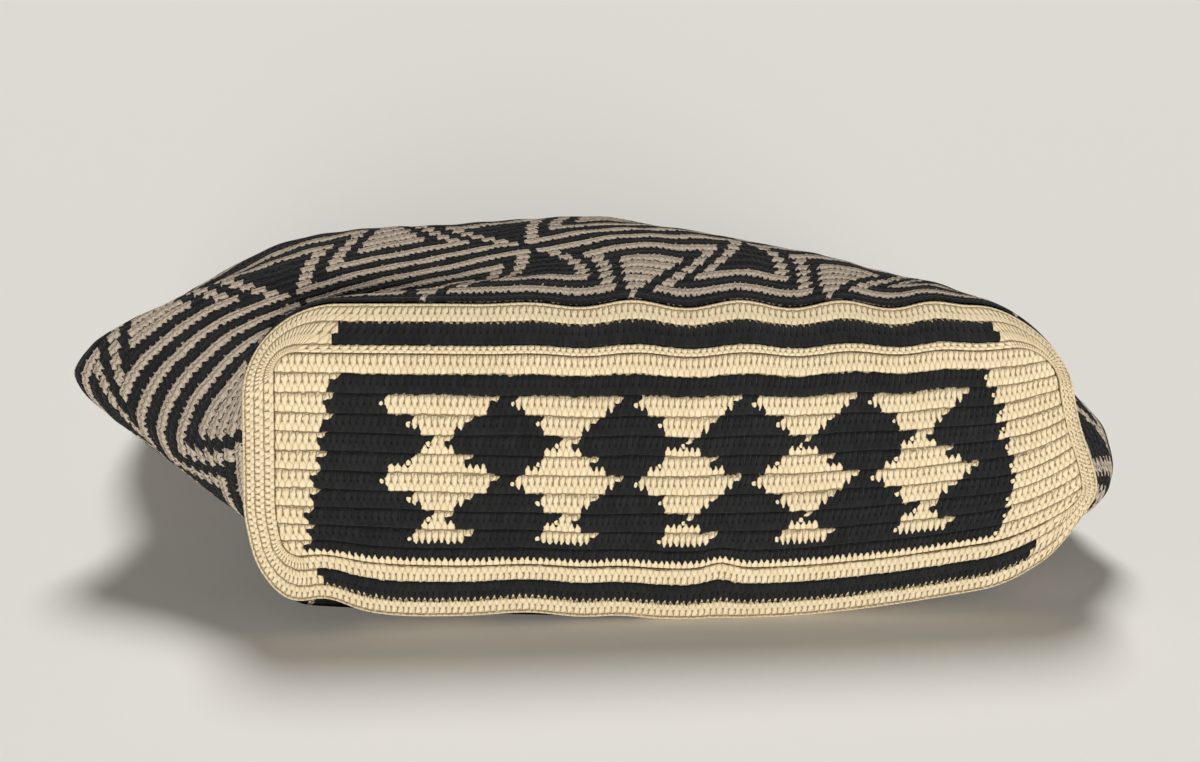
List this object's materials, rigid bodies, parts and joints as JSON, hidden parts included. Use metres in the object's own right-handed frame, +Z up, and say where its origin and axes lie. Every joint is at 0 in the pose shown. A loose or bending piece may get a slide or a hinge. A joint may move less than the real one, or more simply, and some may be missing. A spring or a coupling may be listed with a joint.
{
  "type": "crocheted shoulder bag",
  "caption": "Soft crocheted bag with a ridged oblong base and an open tube body in black and beige, lying on its side with the mouth to the back.",
  "frame": {"origin": "on the floor, on the flat side that the bag rests on, about under the middle of its length", "axes": "+X across the base to the right, +Y from the base to the mouth, +Z up"},
  "size_m": [0.5097, 0.2902, 0.1535],
  "materials": {
    "beige_yarn": "matte cotton crochet",
    "black_yarn": "matte cotton crochet"
  },
  "bodies": {
    "root": {"base": "beige_yarn", "body": "black_yarn"}
  },
  "joints": []
}
